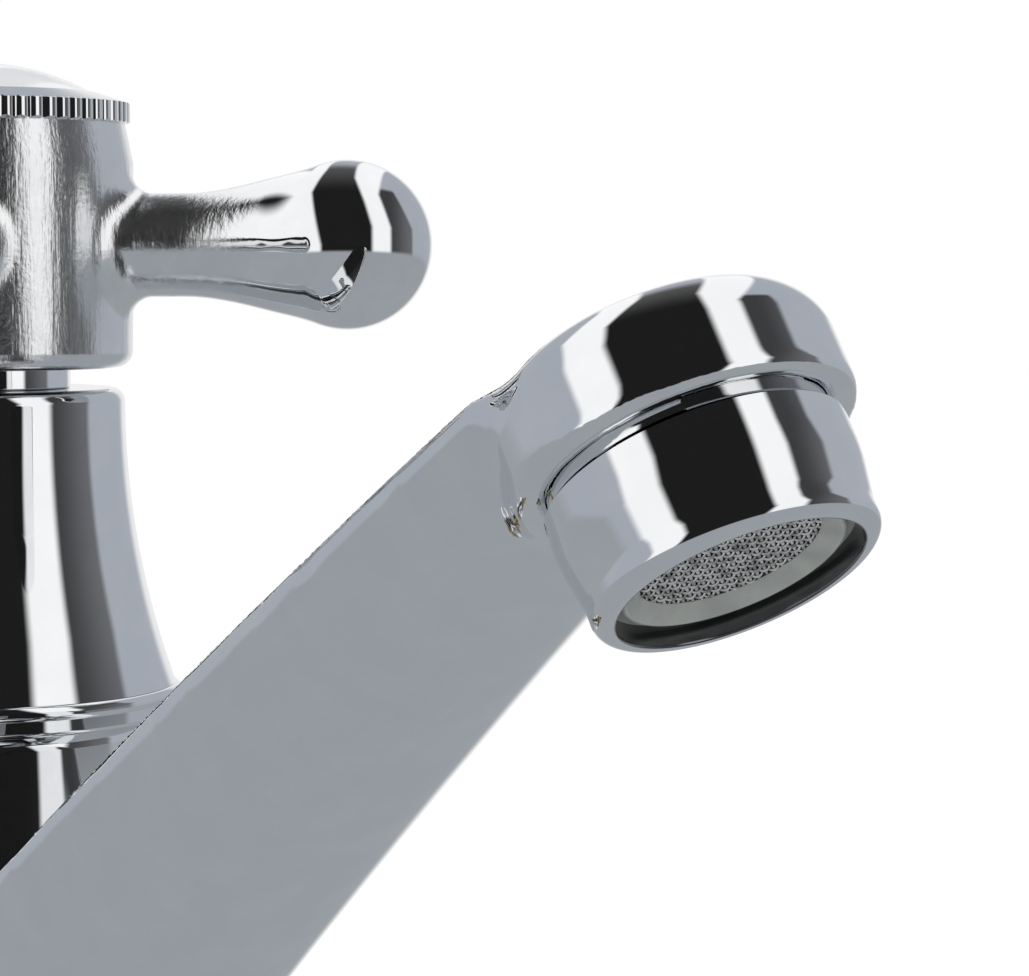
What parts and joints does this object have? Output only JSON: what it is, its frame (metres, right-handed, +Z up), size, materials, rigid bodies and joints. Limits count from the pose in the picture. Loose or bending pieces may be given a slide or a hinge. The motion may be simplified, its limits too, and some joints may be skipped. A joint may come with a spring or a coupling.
{
  "type": "cross handle tap",
  "caption": "Pillar tap with a cross handle, a flared bonnet and a straight rising spout that ends in an angled aerator, for a basin or bath deck.",
  "frame": {"origin": "centre of the gasket's underside on the column axis, where the tap stands on the deck", "axes": "+Z up along the column, the spout points along -Y"},
  "size_m": [0.069, 0.1584, 0.1779],
  "materials": {
    "chrome": "mirror-polished chrome plate on brass",
    "satin_chrome": "chrome plate over a finely brushed casting, a little duller than the rest",
    "porcelain": "white glazed porcelain",
    "brass": "machined brass",
    "steel": "zinc-plated and stainless steel",
    "steel_wire": "woven stainless steel wire",
    "rubber": "matt black rubber",
    "fibre": "pressed fibre",
    "white_nylon": "natural nylon",
    "grey_plastic": "grey moulded plastic"
  },
  "bodies": {
    "tap": {"tap_body": "chrome", "deck_gasket": "rubber", "clamp_washer": "steel", "backnut": "brass", "valve_seat": "brass", "headwork_body": "brass", "headwork_washer": "fibre", "bonnet_ring": "chrome", "bonnet_cover": "chrome", "bonnet_nut": "chrome", "aerator_shell": "chrome", "aerator_insert": "grey_plastic", "aerator_screen": "steel_wire", "aerator_diffuser": "grey_plastic", "aerator_inlet_screen": "steel_wire", "aerator_seal": "rubber"},
    "handle": {"handle_cross": "satin_chrome", "spindle": "brass", "spindle_o_rings": "rubber", "thrust_washer": "fibre", "spindle_circlip": "steel", "spline_bush": "white_nylon", "screw_washer": "steel", "handle_screw": "steel", "index_ring": "chrome", "index_disc": "porcelain", "index_o_ring": "rubber"},
    "valve": {"valve_carrier": "brass", "seat_washer": "rubber", "washer_screw": "steel"}
  },
  "joints": [
    {"name": "handle_turn", "type": "hinge", "parent": "tap", "child": "handle", "pos_m": [0, 0, 0.11], "axis": [0, 0, 1], "range_deg": [0, 600]},
    {"name": "valve_lift", "type": "slide", "parent": "tap", "child": "valve", "axis": [0, 0, 1], "range_m": [0, 0.004]}
  ],
  "couplings": [
    {"joint": "valve_lift", "follows": "handle_turn", "m_per_rad": 0.00038197}
  ]
}
